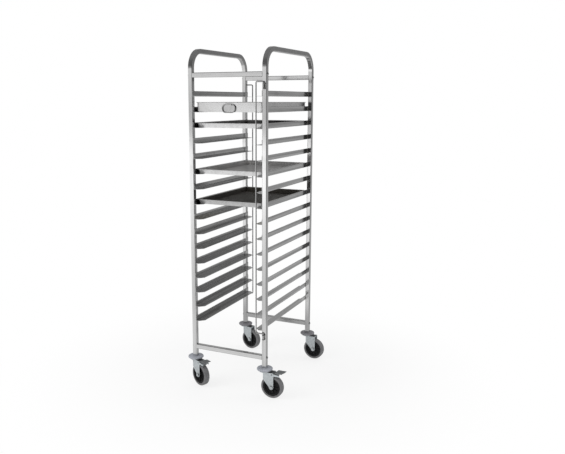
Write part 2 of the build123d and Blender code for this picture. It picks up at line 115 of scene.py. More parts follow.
def steps(tree, value, stops):
    """A grey ramp over 0..1, given as (place, level) pairs."""
    ramp = put(tree, "ShaderNodeValToRGB", {0: value})
    band = ramp.color_ramp
    while len(band.elements) < len(stops):
        band.elements.new(1.0)
    for element, (place, level) in zip(band.elements, stops):
        element.position = place
        element.color = (level, level, level, 1.0)
    return ramp.outputs[0]


def coordinates(tree, kind="Object"):
    return put(tree, "ShaderNodeTexCoord").outputs[kind]


def axes(tree, vector):
    return put(tree, "ShaderNodeSeparateXYZ", {0: vector}).outputs


def vector_of(tree, x=0.0, y=0.0, z=0.0):
    return put(tree, "ShaderNodeCombineXYZ", {0: x, 1: y, 2: z}).outputs[0]


def stretch(tree, vector, factors):
    """Multiplies a vector axis by axis."""
    ends = {0: vector, 1: factors}
    return put(tree, "ShaderNodeVectorMath", ends, operation="MULTIPLY").outputs[0]


def noise(tree, place, scale, detail, rough, distortion=0.0):
    return put(tree, "ShaderNodeTexNoise", {
        "Vector": place, "Scale": scale, "Detail": detail, "Roughness": rough,
        "Distortion": distortion}).outputs[0]


def effect(name, inputs, outputs):
    """An empty shader group with named sockets; every output is a number."""
    tree = bpy.data.node_groups.new(name, "ShaderNodeTree")
    for label, kind, value in inputs:
        socket = tree.interface.new_socket(name=label, in_out="INPUT", socket_type=kind)
        socket.default_value = value
    for label in outputs:
        tree.interface.new_socket(name=label, in_out="OUTPUT", socket_type=FLOAT)
    start = tree.nodes.new("NodeGroupInput")
    end = tree.nodes.new("NodeGroupOutput")
    return tree, start.outputs, end.inputs


def use(tree, group, **values):
    """Places an effect in a material with its own values; underscores stand for spaces."""
    made = put(tree, "ShaderNodeGroup", node_tree=group)
    for name, value in values.items():
        feed(tree, made.inputs[name.replace("_", " ")], value)
    return made.outputs


# ---------------------------------------------------------------- shared effects

# The part of each noise that shows, from none to all
MID_TONES, CLOUD_EDGE, SPECK_EDGE, CUT_EDGE = (0.3, 0.7), (0.46, 0.74), (0.35, 0.75), (0.62, 0.7)
CUT_LENGTHWISE = 3.0


def make_grain():
    """Lines left by grinding or drawing: long along one axis, fine across the others."""
    tree, given, out = effect(
        "ground_lines",
        [("Density", VECTOR, (900.0, 900.0, 12.0)), ("Band Share", FLOAT, 0.12)],
        ["Lines", "Bands"],
    )
    fine = stretch(tree, coordinates(tree), given["Density"])
    wide = put(tree, "ShaderNodeVectorMath", {0: fine, "Scale": given["Band Share"]},
               operation="SCALE").outputs[0]
    lines = noise(tree, fine, scale=1.0, detail=3.0, rough=0.6)
    bands = noise(tree, wide, scale=1.0, detail=2.0, rough=0.5)
    feed(tree, out["Lines"], between(tree, lines, *MID_TONES))
    feed(tree, out["Bands"], between(tree, bands, *MID_TONES))
    return tree


def make_hand_marks():
    """Faint cloudy patches where hands and cloths have dulled the finish."""
    tree, given, out = effect(
        "hand_marks", [("Patches", FLOAT, 9.0), ("Amount", FLOAT, 0.5)], ["Mask"]
    )
    cloud = noise(tree, coordinates(tree), scale=given["Patches"], detail=5.0, rough=0.62,
                  distortion=0.6)
    feed(tree, out["Mask"], times(tree, between(tree, cloud, *CLOUD_EDGE), given["Amount"]))
    return tree


def make_floor_dust():
    """Dust that thins out with height above the floor."""
    tree, given, out = effect(
        "floor_dust", [("Reach", FLOAT, 0.12), ("Amount", FLOAT, 0.5)], ["Mask"]
    )
    place = coordinates(tree)
    height = axes(tree, place)[2]
    low = between(tree, sums(tree, "DIVIDE", height, given["Reach"]), 1.0, 0.0)
    specks = noise(tree, place, scale=160.0, detail=6.0, rough=0.7)
    broken = times(tree, low, between(tree, specks, *SPECK_EDGE))
    feed(tree, out["Mask"], times(tree, broken, given["Amount"]))
    return tree


def make_moulded_skin():
    """The fine pebbled skin of moulded rubber and plastic."""
    tree, given, out = effect("moulded_skin", [("Pebbles", FLOAT, 1400.0)], ["Height", "Tone"])
    place = coordinates(tree)
    pebble = put(tree, "ShaderNodeTexVoronoi", {"Vector": place, "Scale": given["Pebbles"]})
    tone = noise(tree, place, scale=45.0, detail=4.0, rough=0.6)
    feed(tree, out["Height"], pebble.outputs["Distance"])
    feed(tree, out["Tone"], between(tree, tone, *MID_TONES))
    return tree


def make_slide_marks():
    """Thin scratches that run front to back, where trays have been pushed in and out."""
    tree, given, out = effect(
        "slide_marks", [("Spread", FLOAT, 260.0), ("Amount", FLOAT, 0.6)], ["Mask"]
    )
    across = vector_of(tree, x=given["Spread"], y=CUT_LENGTHWISE, z=given["Spread"])
    drawn = stretch(tree, coordinates(tree), across)
    cut = noise(tree, drawn, scale=1.0, detail=1.0, rough=0.4)
    feed(tree, out["Mask"], times(tree, between(tree, cut, *CUT_EDGE), given["Amount"]))
    return tree


GRAIN, HANDS, DUST = make_grain(), make_hand_marks(), make_floor_dust()
SKIN, SLIDES = make_moulded_skin(), make_slide_marks()


# ---------------------------------------------------------------- finishes

# How much of each mark's own colour shows, and the roughness that it adds
HANDLED_TINT, HANDLED_MATT = 0.25, 0.12
SLIDE_TINT, SLIDE_MATT = 0.5, 0.1
SCUFF_TINT, SCUFF_MATT = 0.35, 0.15
WORN_ZINC, SPANGLE_MATT, ZINC_DUST_MATT = 0.4, 0.08, 0.4
COAT_MATT, SHELL_LINES, HEAT_MATT, SKIN_DUST_MATT = 0.15, 0.1, 0.2, 0.2
# A mark's own colour: shares of the colour under it, with a little warmth or an upper limit
HANDLED_DIM, HANDLED_WARM = 0.75, 0.02
SLIDE_BRIGHT, SLIDE_LIMIT = 1.25, 0.9
COAT_HANDLED, COAT_HANDLED_WARM = 1.5, 0.06
COAT_SLIDE, COAT_SLIDE_LEAST, COAT_SLIDE_WARM = 3.0, 0.01, 0.03
SCUFF_BRIGHT = 1.35
# Painted shade: the near-black grey that upward-facing zinc faces are darkened towards
PAINTED_SHADE_GREY = 0.05
DUST_ON_ZINC, DUST_ON_RUBBER = (0.42, 0.40, 0.37, 1.0), (0.33, 0.31, 0.285, 1.0)
# Plain roughness and metal of a tray's outside, the zinc and the welds
SHELL_METAL, SHELL_DIM, SHELL_MATT = 0.72, 0.88, 0.26
ZINC_METAL, ZINC_MATT, WELD_MATT = 0.6, 0.36, 0.28
# Where a tray's rim ends below its top, and how far a face has to look up to be inside or to take the painted
# shade
RIM_FADE, INSIDE_FACING, PAINTED_SHADE_FACING = (1.2 * MM, 0.6 * MM), (0.1, 0.25), (0.25, 0.6)
# The heat noise at which straw, then bright metal, takes over from blue
STRAW_EDGE, BRIGHT_EDGE = (0.38, 0.5), (0.55, 0.7)


def finish(name, **sockets):
    """A new material with one Principled shader and its plain values."""
    material = bpy.data.materials.new(name)
    material.use_nodes = True
    tree = material.node_tree
    shader = tree.nodes["Principled BSDF"]
    for label, value in sockets.items():
        shader.inputs[label.replace("_", " ")].default_value = value
    return material, tree, shader.inputs


def grey(level, warm=0.0):
    return (level * (1 + warm), level, level * (1 - warm), 1.0)


def raise_from(tree, shader, height, strength, distance):
    bump = put(tree, "ShaderNodeBump",
               {"Strength": strength, "Distance": distance, "Height": height})
    feed(tree, shader["Normal"], bump.outputs[0])


def steel(name, density, light, dark, rough, patches=7.0, marks=0.6, lines=0.10, slides=0.0):
    """Ground stainless steel: lines along one axis, dulled a little where it is handled."""
    material, tree, shader = finish(name, Metallic=1.0)
    grain = use(tree, GRAIN, Density=density)
    hands = use(tree, HANDS, Patches=patches, Amount=marks)["Mask"]
    handled = grey(dark[1] * HANDLED_DIM, HANDLED_WARM)
    tint = blend_colour(tree, grain["Bands"], dark, light)
    tint = blend_colour(tree, times(tree, hands, HANDLED_TINT), tint, handled)
    matt = plus(tree, plus(tree, rough, grain["Lines"], lines), hands, HANDLED_MATT)
    height = grain["Lines"]
    if slides:
        cuts = use(tree, SLIDES, Amount=slides)["Mask"]
        scratched = grey(min(light[1] * SLIDE_BRIGHT, SLIDE_LIMIT))
        tint = blend_colour(tree, times(tree, cuts, SLIDE_TINT), tint, scratched)
        matt = plus(tree, matt, cuts, SLIDE_MATT)
        height = sums(tree, "SUBTRACT", height, cuts)
    feed(tree, shader["Base Color"], tint)
    feed(tree, shader["Roughness"], matt)
    raise_from(tree, shader, height, strength=0.05, distance=0.2 * MM)
    return material


def tray_metal(name, outside, inside, inside_metal, inside_rough, rim_z, streaks, glint=WHITE):
    """Tray sheet: bright outside and on the rim, another finish on the inside below the rim."""
    material, tree, shader = finish(name, Specular_Tint=glint)
    facing = axes(tree, coordinates(tree, "Normal"))[2]
    height = axes(tree, coordinates(tree))[2]
    below_rim = between(tree, height, rim_z - RIM_FADE[0], rim_z - RIM_FADE[1], 1.0, 0.0)
    inner = times(tree, between(tree, facing, *INSIDE_FACING), below_rim)
    grain = use(tree, GRAIN, Density=(420.0, 9.0, 420.0))
    hands = use(tree, HANDS, Patches=6.0, Amount=0.7)["Mask"]
    cuts = use(tree, SLIDES, Spread=190.0, Amount=streaks)["Mask"]
    handled = grey(inside[1] * COAT_HANDLED, COAT_HANDLED_WARM)
    scratched = grey(inside[1] * COAT_SLIDE + COAT_SLIDE_LEAST, COAT_SLIDE_WARM)
    coat = blend_colour(tree, hands, inside, handled)
    coat = blend_colour(tree, times(tree, cuts, SLIDE_TINT), coat, scratched)
    shell = blend_colour(tree, grain["Bands"], grey(outside * SHELL_DIM), grey(outside))
    shell_matt = plus(tree, SHELL_MATT, grain["Lines"], SHELL_LINES)
    coat_matt = plus(tree, inside_rough, hands, COAT_MATT)
    feed(tree, shader["Base Color"], blend_colour(tree, inner, shell, coat))
    feed(tree, shader["Metallic"], blend_value(tree, inner, SHELL_METAL, inside_metal))
    feed(tree, shader["Roughness"], blend_value(tree, inner, shell_matt, coat_matt))
    raise_from(tree, shader, grain["Lines"], strength=0.06, distance=0.3 * MM)
    return material


def zinc_plate(name, low, high, worn, painted_shade=0.0):
    """Passivated zinc with a soft spangle; painted shade darkens what faces up, standing in for the shadow under
    the bumpers.
    """
    material, tree, shader = finish(name, Metallic=ZINC_METAL)
    facing = axes(tree, coordinates(tree, "Normal"))[2]
    spangle = put(tree, "ShaderNodeTexVoronoi",
                  {"Vector": coordinates(tree), "Scale": 210.0, "Randomness": 1.0})
    cell = put(tree, "ShaderNodeSeparateColor", {0: spangle.outputs["Color"]}).outputs[0]
    hands = use(tree, HANDS, Patches=28.0, Amount=0.8)["Mask"]
    dust = use(tree, DUST, Reach=0.16, Amount=0.5)["Mask"]
    plate = blend_colour(tree, cell, low, high)
    plate = blend_colour(tree, times(tree, hands, WORN_ZINC), plate, worn)
    # Painted shade: faces that look up are darkened, as if they lay in the shadow under the bumpers
    shaded_top = between(tree, facing, *PAINTED_SHADE_FACING, 0.0, painted_shade)
    plate = blend_colour(tree, shaded_top, plate, grey(PAINTED_SHADE_GREY))
    matt = plus(tree, ZINC_MATT, cell, SPANGLE_MATT)
    feed(tree, shader["Base Color"], blend_colour(tree, dust, plate, DUST_ON_ZINC))
    feed(tree, shader["Roughness"], plus(tree, matt, dust, ZINC_DUST_MATT))
    raise_from(tree, shader, cell, strength=0.04, distance=0.4 * MM)
    return material


def moulding(name, colour, light, rough, pebbles, dust_reach, dust_amount, strength, sheen=0.5):
    """Moulded rubber or plastic with a pebbled skin, uneven tone and floor dust."""
    material, tree, shader = finish(name, Specular_IOR_Level=sheen)
    skin = use(tree, SKIN, Pebbles=pebbles)
    dust = use(tree, DUST, Reach=dust_reach, Amount=dust_amount)["Mask"]
    scuffs = use(tree, HANDS, Patches=60.0, Amount=0.8)["Mask"]
    scuffed = tuple(min(1, c * SCUFF_BRIGHT) for c in light)
    tone = blend_colour(tree, skin["Tone"], colour, light)
    tone = blend_colour(tree, times(tree, scuffs, SCUFF_TINT), tone, scuffed)
    matt = plus(tree, rough, scuffs, SCUFF_MATT)
    feed(tree, shader["Base Color"], blend_colour(tree, dust, tone, DUST_ON_RUBBER))
    feed(tree, shader["Roughness"], plus(tree, matt, dust, SKIN_DUST_MATT))
    raise_from(tree, shader, skin["Height"], strength, distance=0.4 * MM)
    return material


def weld_metal():
    """Brushed weld bead with a trace of straw and blue heat tint."""
    material, tree, shader = finish("brushed weld bead", Metallic=1.0)
    blue, straw, bright = (0.50, 0.51, 0.54, 1.0), (0.60, 0.57, 0.50, 1.0), grey(0.62)
    heat = noise(tree, coordinates(tree), scale=240.0, detail=3.0, rough=0.6)
    tint = blend_colour(tree, between(tree, heat, *STRAW_EDGE), blue, straw)
    tint = blend_colour(tree, between(tree, heat, *BRIGHT_EDGE), tint, bright)
    feed(tree, shader["Base Color"], tint)
    feed(tree, shader["Roughness"], plus(tree, WELD_MATT, heat, HEAT_MATT))
    raise_from(tree, shader, heat, strength=0.15, distance=0.3 * MM)
    return material


def rim_height(node):
    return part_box(node)[1].z


# Density of the ground lines: low along the lines, high across them
UPRIGHT, CROSSWISE, LENGTHWISE = (700.0, 700.0, 6.0), (6.0, 700.0, 700.0), (700.0, 6.0, 700.0)
POLISHED, TURNED = (260.0, 260.0, 260.0), (500.0, 500.0, 500.0)
BUMPER_SKIN = {"pebbles": 1100.0, "dust_reach": 0.16, "dust_amount": 0.12, "strength": 0.10}
CORE_SKIN = {"pebbles": 1500.0, "dust_reach": 0.07, "dust_amount": 0.06, "strength": 0.08}
TYRE_SKIN = {"pebbles": 1300.0, "dust_reach": 0.06, "dust_amount": 0.35, "strength": 0.15}
FINISHES = {
    "tube_steel": steel(
        "ground tube steel", UPRIGHT, grey(0.72), grey(0.64), rough=0.07, lines=0.06),
    "runner_steel": steel(
        "satin runner steel", LENGTHWISE, grey(0.74), grey(0.42), rough=0.11, marks=0.8,
        lines=0.08, slides=0.6),
    "bright_steel": steel(
        "drawn rod steel", UPRIGHT, grey(0.58), grey(0.50), rough=0.20, patches=22.0),
    "pan_steel": steel(
        "satin pan steel", CROSSWISE, grey(0.84), grey(0.76), rough=0.22, marks=0.8),
    "dark_tray": tray_metal(
        "tray with a darkened inside", outside=0.84, inside=grey(0.085), inside_metal=0.45,
        inside_rough=0.30, rim_z=rim_height("upper_tray"), streaks=0.5),
    "bare_tray": tray_metal(
        "bare aluminium tray", outside=0.84, inside=grey(0.35, 0.01), inside_metal=0.35,
        inside_rough=0.32, rim_z=rim_height("middle_tray"), streaks=0.6),
    "black_tray": tray_metal(
        "tray with a black coat", outside=0.60, inside=grey(0.018, 0.25), inside_metal=0.0,
        inside_rough=0.42, rim_z=rim_height("lower_tray"), streaks=1.0,
        glint=(1.0, 0.95, 0.82, 1.0)),
    # The zinc slot takes painted shade on its upward-facing faces
    "zinc": zinc_plate(
        "pale zinc plate", low=(0.60, 0.645, 0.665, 1.0), high=(0.70, 0.745, 0.765, 1.0),
        worn=(0.44, 0.46, 0.47, 1.0), painted_shade=0.9),
    "bumper_grey": moulding(
        "grey bumper rubber", (0.345, 0.36, 0.40, 1.0), (0.40, 0.415, 0.46, 1.0), rough=0.5,
        **BUMPER_SKIN),
    "core_black": moulding(
        "black wheel nylon", (0.008, 0.008, 0.009, 1.0), (0.014, 0.014, 0.015, 1.0), rough=0.45,
        sheen=0.22, **CORE_SKIN),
    "tyre_grey": moulding(
        "grey tyre rubber", (0.15, 0.15, 0.155, 1.0), (0.20, 0.20, 0.205, 1.0), rough=0.62,
        **TYRE_SKIN),
}
CROSS_TUBE = steel(
    "ground cross tube steel", CROSSWISE, grey(0.72), grey(0.64), rough=0.07, lines=0.06)
PLATE = steel(
    "polished plate steel", POLISHED, grey(0.80), grey(0.74), rough=0.05, patches=40.0,
    lines=0.05)
DARK_ZINC = zinc_plate(
    "dark pedal zinc", low=(0.17, 0.18, 0.185, 1.0), high=(0.24, 0.25, 0.255, 1.0),
    worn=(0.42, 0.43, 0.44, 1.0))
# Painted shade: the rear bumpers are the same rubber as the front ones, darkened to stand in for the shade they
# sit in
SHADED_REAR_BUMPER = moulding(
    "bumper rubber with painted shade", (0.20, 0.195, 0.21, 1.0), (0.25, 0.245, 0.265, 1.0), rough=0.55,
    **BUMPER_SKIN)
WELD = weld_metal()
BOLT_HEAD = steel(
    "turned bolt steel", TURNED, grey(0.60), grey(0.48), rough=0.20, patches=60.0)

# Nodes that look different from the rest of their slot
OWN_FINISH = {
    "pan_handle_barrel": PLATE,
    "front_left_brake_pedal": DARK_ZINC,
    "front_right_brake_pedal": DARK_ZINC,
    # Rear bumpers: painted shade
    "rear_left_bumper": SHADED_REAR_BUMPER,
    "rear_right_bumper": SHADED_REAR_BUMPER,
    **{bar: CROSS_TUBE for bar in CROSS_TUBES},
}
for part in frame["record"]["subparts"]:
    shown = nodes[part["node"]]
    coat = OWN_FINISH.get(part["node"], FINISHES[part["material_slot"]])
    shown.data.materials.clear()
    shown.data.materials.append(coat)


# ---------------------------------------------------------------- rules that repeat a piece

# How finely round shapes are cut
WELD_SIDES, WELD_RINGS = 8, 5
RING_STEPS, RING_SIDES = 72, 8
RIM_STEPS, RIM_SIDES = 10, 12
# Smallest and largest weld bead, as a share of the stated one
WELD_SMALL, WELD_LARGE = 0.85, 1.12


def rule(name, inputs):
    """An empty geometry tree with named inputs, its seed geometry and its result."""
    tree = bpy.data.node_groups.new(name, "GeometryNodeTree")
    tree.interface.new_socket(name="Geometry", in_out="INPUT", socket_type=GEOMETRY)
    for label, kind in inputs:
        tree.interface.new_socket(name=label, in_out="INPUT", socket_type=kind)
    tree.interface.new_socket(name="Material", in_out="INPUT", socket_type=MATERIAL)
    tree.interface.new_socket(name="Geometry", in_out="OUTPUT", socket_type=GEOMETRY)
    start = tree.nodes.new("NodeGroupInput")
    end = tree.nodes.new("NodeGroupOutput")
    return tree, start.outputs, end.inputs


def close_rule(tree, given, out, geometry, smooth=True):
    """Ends a tree: real geometry, its shading and its material."""
    real = put(tree, "GeometryNodeRealizeInstances", {0: geometry}).outputs[0]
    shaded = put(tree, "GeometryNodeSetShadeSmooth",
                 {"Geometry": real, "Shade Smooth": smooth}).outputs[0]
    dressed = put(tree, "GeometryNodeSetMaterial",
                  {"Geometry": shaded, "Material": given["Material"]}).outputs[0]
    feed(tree, out["Geometry"], dressed)
    return tree


def grow(name, tree, values, body, points=((0, 0, 0),), edges=()):
    """Runs a tree on seed points and keeps what it makes as a plain mesh that rides on a body."""
    seed = bpy.data.meshes.new(name + "_seed")
    seed.from_pydata([tuple(p) for p in points], list(edges), [])
    maker = bpy.data.objects.new(name + "_maker", seed)
    scene.collection.objects.link(maker)
    modifier = maker.modifiers.new("rule", "NODES")
    modifier.node_group = tree
    for item in tree.interface.items_tree:
        if item.in_out == "INPUT" and item.name in values:
            value = values[item.name]
            if hasattr(value, "__len__"):
                value = [float(v) for v in value]
            modifier[item.identifier] = value
    shaped = maker.evaluated_get(bpy.context.evaluated_depsgraph_get())
    mesh = bpy.data.meshes.new_from_object(shaped)
    maker.modifiers.remove(modifier)
    bpy.data.objects.remove(maker)
    bpy.data.meshes.remove(seed)
    mesh.name = name
    piece = bpy.data.objects.new(name, mesh)
    scene.collection.objects.link(piece)
    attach(piece, body)
    return piece


def pattern(name, mesh):
    """A shape for a tree to repeat, kept out of the scene."""
    return bpy.data.objects.new(name, mesh)


def repeat(tree, points, shape, **more):
    """Sets a shape on each point; Scale and Rotation can be given too."""
    values = {"Points": points, "Instance": shape, **more}
    return put(tree, "GeometryNodeInstanceOnPoints", values).outputs[0]


def move(tree, geometry, place, **more):
    """Moves geometry; Rotation can be given too."""
    values = {"Geometry": geometry, "Translation": place, **more}
    return put(tree, "GeometryNodeTransform", values).outputs[0]


def object_shape(tree, socket):
    return put(tree, "GeometryNodeObjectInfo", {"Object": socket}).outputs["Geometry"]


def circle_path(tree, points, radius):
    values = {"Resolution": points, "Radius": radius}
    return put(tree, "GeometryNodeCurvePrimitiveCircle", values).outputs[0]


def sweep_along(tree, path, section):
    values = {"Curve": path, "Profile Curve": section}
    return put(tree, "GeometryNodeCurveToMesh", values).outputs[0]


def weld_run_rule():
    """Rows of overlapping beads along the seed's edges, each a little different."""
    tree, given, out = rule(
        "weld_run", [("Spacing", FLOAT), ("Bead Radius", FLOAT), ("Seed", WHOLE)])
    path = put(tree, "GeometryNodeMeshToCurve", {"Mesh": given["Geometry"]}).outputs[0]
    spots = put(tree, "GeometryNodeResampleCurve",
                {"Curve": path, "Length": given["Spacing"]}, mode="LENGTH").outputs[0]
    bead = put(tree, "GeometryNodeMeshUVSphere",
               {"Segments": WELD_SIDES, "Rings": WELD_RINGS, "Radius": given["Bead Radius"]})
    size = put(tree, "FunctionNodeRandomValue",
               {2: WELD_SMALL, 3: WELD_LARGE, "Seed": given["Seed"]}, data_type="FLOAT")
    row = repeat(tree, spots, bead.outputs[0], Scale=size.outputs[1])
    return close_rule(tree, given, out, row)


def bolts_rule():
    """One bolt on each seed point, its head turned away from the middle of the trolley."""
    tree, given, out = rule("bolts_on_posts", [("Bolt", OBJECT)])
    side = axes(tree, put(tree, "GeometryNodeInputPosition").outputs[0])[0]
    outward = vector_of(tree, x=sums(tree, "SIGN", side))
    turn = put(tree, "FunctionNodeAlignRotationToVector", {"Vector": outward}, axis="Z").outputs[0]
    bolts = repeat(tree, given["Geometry"], object_shape(tree, given["Bolt"]), Rotation=turn)
    return close_rule(tree, given, out, bolts, smooth=False)


def spokes_rule():
    """A shape repeated round an axis, then laid in its wheel."""
    tree, given, out = rule("spokes_round", [
        ("Spoke", OBJECT), ("Count", WHOLE), ("Turn", ROTATION), ("Place", VECTOR)])
    spots = put(tree, "GeometryNodeMeshLine",
                {"Count": given["Count"], "Offset": (0.0, 0.0, 0.0)}).outputs[0]
    index = put(tree, "GeometryNodeInputIndex").outputs[0]
    share = sums(tree, "DIVIDE", index, given["Count"])
    angle = vector_of(tree, z=times(tree, share, 2 * math.pi))
    turn = put(tree, "FunctionNodeEulerToRotation", {0: angle}).outputs[0]
    ring = repeat(tree, spots, object_shape(tree, given["Spoke"]), Rotation=turn)
    laid = move(tree, ring, given["Place"], Rotation=given["Turn"])
    return close_rule(tree, given, out, laid, smooth=False)


def side_rings_rule():
    """A round bead on each side wall of a wheel."""
    tree, given, out = rule("side_rings", [
        ("Ring Radius", FLOAT), ("Bead Radius", FLOAT), ("Half Width", FLOAT),
        ("Turn", ROTATION), ("Place", VECTOR)])
    ring = circle_path(tree, RING_STEPS, given["Ring Radius"])
    hoop = sweep_along(tree, ring, circle_path(tree, RING_SIDES, given["Bead Radius"]))
    both = put(tree, "GeometryNodeJoinGeometry")
    for sign in (-1.0, 1.0):
        shift = vector_of(tree, z=times(tree, given["Half Width"], sign))
        feed(tree, both.inputs[0], move(tree, hoop, shift))
    laid = move(tree, both.outputs[0], given["Place"], Rotation=given["Turn"])
    return close_rule(tree, given, out, laid)


def row_rule():
    """A shape repeated at even steps along a line."""
    tree, given, out = rule("row_of_shapes", [
        ("Shape", OBJECT), ("Count", WHOLE), ("First", VECTOR), ("Last", VECTOR),
        ("Turn", ROTATION)])
    ends = {"Count": given["Count"], "Start Location": given["First"], "Offset": given["Last"]}
    line = put(tree, "GeometryNodeMeshLine", ends, mode="END_POINTS").outputs[0]
    row = repeat(tree, line, object_shape(tree, given["Shape"]), Rotation=given["Turn"])
    return close_rule(tree, given, out, row, smooth=False)


def rim_rule():
    """The rolled edge of a tray: a round bead along a rectangle with rounded corners."""
    tree, given, out = rule("rolled_rim", [
        ("Width", FLOAT), ("Length", FLOAT), ("Corner", FLOAT), ("Bead Radius", FLOAT),
        ("Place", VECTOR)])
    edge = put(tree, "GeometryNodeCurvePrimitiveQuadrilateral",
               {"Width": given["Width"], "Height": given["Length"]}).outputs[0]
    corners = {"Curve": edge, "Count": RIM_STEPS, "Radius": given["Corner"]}
    round_edge = put(tree, "GeometryNodeFilletCurve", corners, mode="POLY").outputs[0]
    bead = sweep_along(tree, round_edge, circle_path(tree, RIM_SIDES, given["Bead Radius"]))
    return close_rule(tree, given, out, move(tree, bead, given["Place"]))


# ---------------------------------------------------------------- shapes that are repeated

BOLT_SIDES = 24
# A bolt head's dome, as (share of its radius, share of its height)
DOME = ((1.0, 0.0), (1.0, 0.2), (0.93, 0.56), (0.79, 0.81), (0.60, 0.96), (0.47, 1.0))
# The shank's tip: its radius and the length of its chamfer, as shares of the shank's radius
TIP_SHARE, TIP_LONG = 0.8, 0.25
# The socket's lead-in: how far it narrows, and how deep that goes, as shares of the socket
SOCKET_SHARE, SOCKET_LEAD = 0.96, 0.2
# Where a bar's sides start to lean, as a share of its height, and how far its ends lean in
SHOULDER, END_LEAN = 0.4, 0.6


def ring_of(mesh, points):
    return [mesh.verts.new(p) for p in points]


def skin_between(mesh, lower, upper):
    count = len(lower)
    for i in range(count):
        after = (i + 1) % count
        mesh.faces.new((lower[i], lower[after], upper[after], upper[i]))


def stack(mesh, levels):
    """Closes a row of outlines, lowest first, into one solid shape."""
    rings = [ring_of(mesh, level) for level in levels]
    for lower, upper in zip(rings, rings[1:]):
        skin_between(mesh, lower, upper)
    mesh.faces.new(list(reversed(rings[0])))
    mesh.faces.new(rings[-1])


def plain_mesh(name, mesh):
    """Keeps working geometry as a mesh."""
    made = bpy.data.meshes.new(name)
    mesh.to_mesh(made)
    mesh.free()
    return made


def round_outline(reach, z):
    """BOLT_SIDES points at a height; reach gives the distance from the axis at an angle."""
    points = []
    for i in range(BOLT_SIDES):
        angle = 2 * math.pi * i / BOLT_SIDES
        points.append((reach(angle) * math.cos(angle), reach(angle) * math.sin(angle), z))
    return points


def circle(radius, z):
    return round_outline(lambda angle: radius, z)


def hexagon(across, z):
    sixth = math.pi / 3
    return round_outline(
        lambda angle: across / 2 / math.cos((angle + sixth / 2) % sixth - sixth / 2), z)


def bolt_mesh(head_r, head_h, shank_r, length, socket, depth):
    """A dome head bolt with a hexagon socket; Z = 0 is under its head, which points along Z."""
    shank = [circle(shank_r * TIP_SHARE, -length), circle(shank_r, -length + shank_r * TIP_LONG),
             circle(shank_r, 0.0)]
    head = [circle(radius * head_r, height * head_h) for radius, height in DOME]
    hollow = [hexagon(socket, head_h), hexagon(socket * SOCKET_SHARE, head_h - SOCKET_LEAD * depth),
              hexagon(socket * SOCKET_SHARE, head_h - depth)]
    mesh = bmesh.new()
    stack(mesh, shank + head + hollow)
    bmesh.ops.recalc_face_normals(mesh, faces=mesh.faces)
    return plain_mesh("dome_bolt", mesh)


def rectangle(x0, x1, half, z):
    return [(x0, -half, z), (x1, -half, z), (x1, half, z), (x0, half, z)]


def tapered_bar(name, start, end, foot, crest, spans):
    """Bars along X with drafted sides: half widths foot and crest at the ends of each Z span."""
    mesh = bmesh.new()
    for z0, z1 in spans:
        lean = abs(z1 - z0) * END_LEAN
        stack(mesh, [rectangle(start, end, foot, z0),
                     rectangle(start, end, foot, z0 + SHOULDER * (z1 - z0)),
                     rectangle(start + lean, end - lean, crest, z1)])
    bmesh.ops.recalc_face_normals(mesh, faces=mesh.faces)
    return plain_mesh(name, mesh)


# ---------------------------------------------------------------- welds

# Runner welds: clear of the post's corners, into the runner's edge and off its ends
TOP_WELD_CLEAR, TOP_WELD_IN = 4 * MM, 0.6 * MM
SIDE_WELD_OUT, SIDE_WELD_BACK = 0.9 * MM, 0.2 * MM
SIDE_WELD_TOP, SIDE_WELD_FOOT = 3 * MM, 6 * MM
# Bracket welds: beside the bracket, off the post and short of the bracket's ends
BRACKET_WELD_OUT, BRACKET_WELD_OFF, BRACKET_WELD_SHORT = 0.3 * MM, 0.5 * MM, 4 * MM

weld_run = weld_run_rule()
hoop_low, hoop_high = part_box("right_hoop")
tube = hoop_high.x - hoop_low.x
post_end = hoop_high.y


def weld(name, runs, spacing, bead, seed):
    """Weld beads along straight runs, each given by its two ends."""
    ends = [end for run in runs for end in run]
    pairs = [(2 * i, 2 * i + 1) for i in range(len(runs))]
    grow(name, weld_run,
         {"Spacing": spacing, "Bead Radius": bead, "Seed": seed, "Material": WELD},
         "frame", ends, pairs)


def runner_runs():
    """On each runner end: one weld across the post on top, one down the post's inner edge."""
    runs = []
    for level in range(1, LEVELS + 1):
        low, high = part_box(f"runner_pair_{level:02d}")
        for sx in (-1, 1):
            for sy in (-1, 1):
                top_x = sx * (high.x - TOP_WELD_IN)
                runs.append(((top_x, sy * (post_end - TOP_WELD_CLEAR), high.z),
                             (top_x, sy * (post_end - tube + TOP_WELD_CLEAR), high.z)))
                edge = (sx * (high.x + SIDE_WELD_OUT), sy * (post_end - tube + SIDE_WELD_BACK))
                runs.append(((*edge, high.z - SIDE_WELD_TOP), (*edge, low.z + SIDE_WELD_FOOT)))
    return runs


def bracket_runs():
    """On both sides of each bracket: one upright weld on the post's face."""
    points = [v.co.copy() for v in nodes["retainer_brackets"].data.vertices]
    low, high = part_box("retainer_brackets")
    middle = (low.z + high.z) / 2
    runs = []
    for sy in (-1, 1):
        face = sy * (post_end + BRACKET_WELD_OFF)
        for sz in (-1, 1):
            own = [p for p in points if p.y * sy > 0 and (p.z - middle) * sz > 0]
            x0, x1 = min(p.x for p in own), max(p.x for p in own)
            z0, z1 = min(p.z for p in own), max(p.z for p in own)
            for x in (x0 - BRACKET_WELD_OUT, x1 + BRACKET_WELD_OUT):
                runs.append(((x, face, z0 + BRACKET_WELD_SHORT),
                             (x, face, z1 - BRACKET_WELD_SHORT)))
    return runs


weld("runner_welds", runner_runs(), spacing=2.1 * MM, bead=1.35 * MM, seed=4)
weld("bracket_welds", bracket_runs(), spacing=1.9 * MM, bead=1.2 * MM, seed=9)


# ---------------------------------------------------------------- cross tube bolts

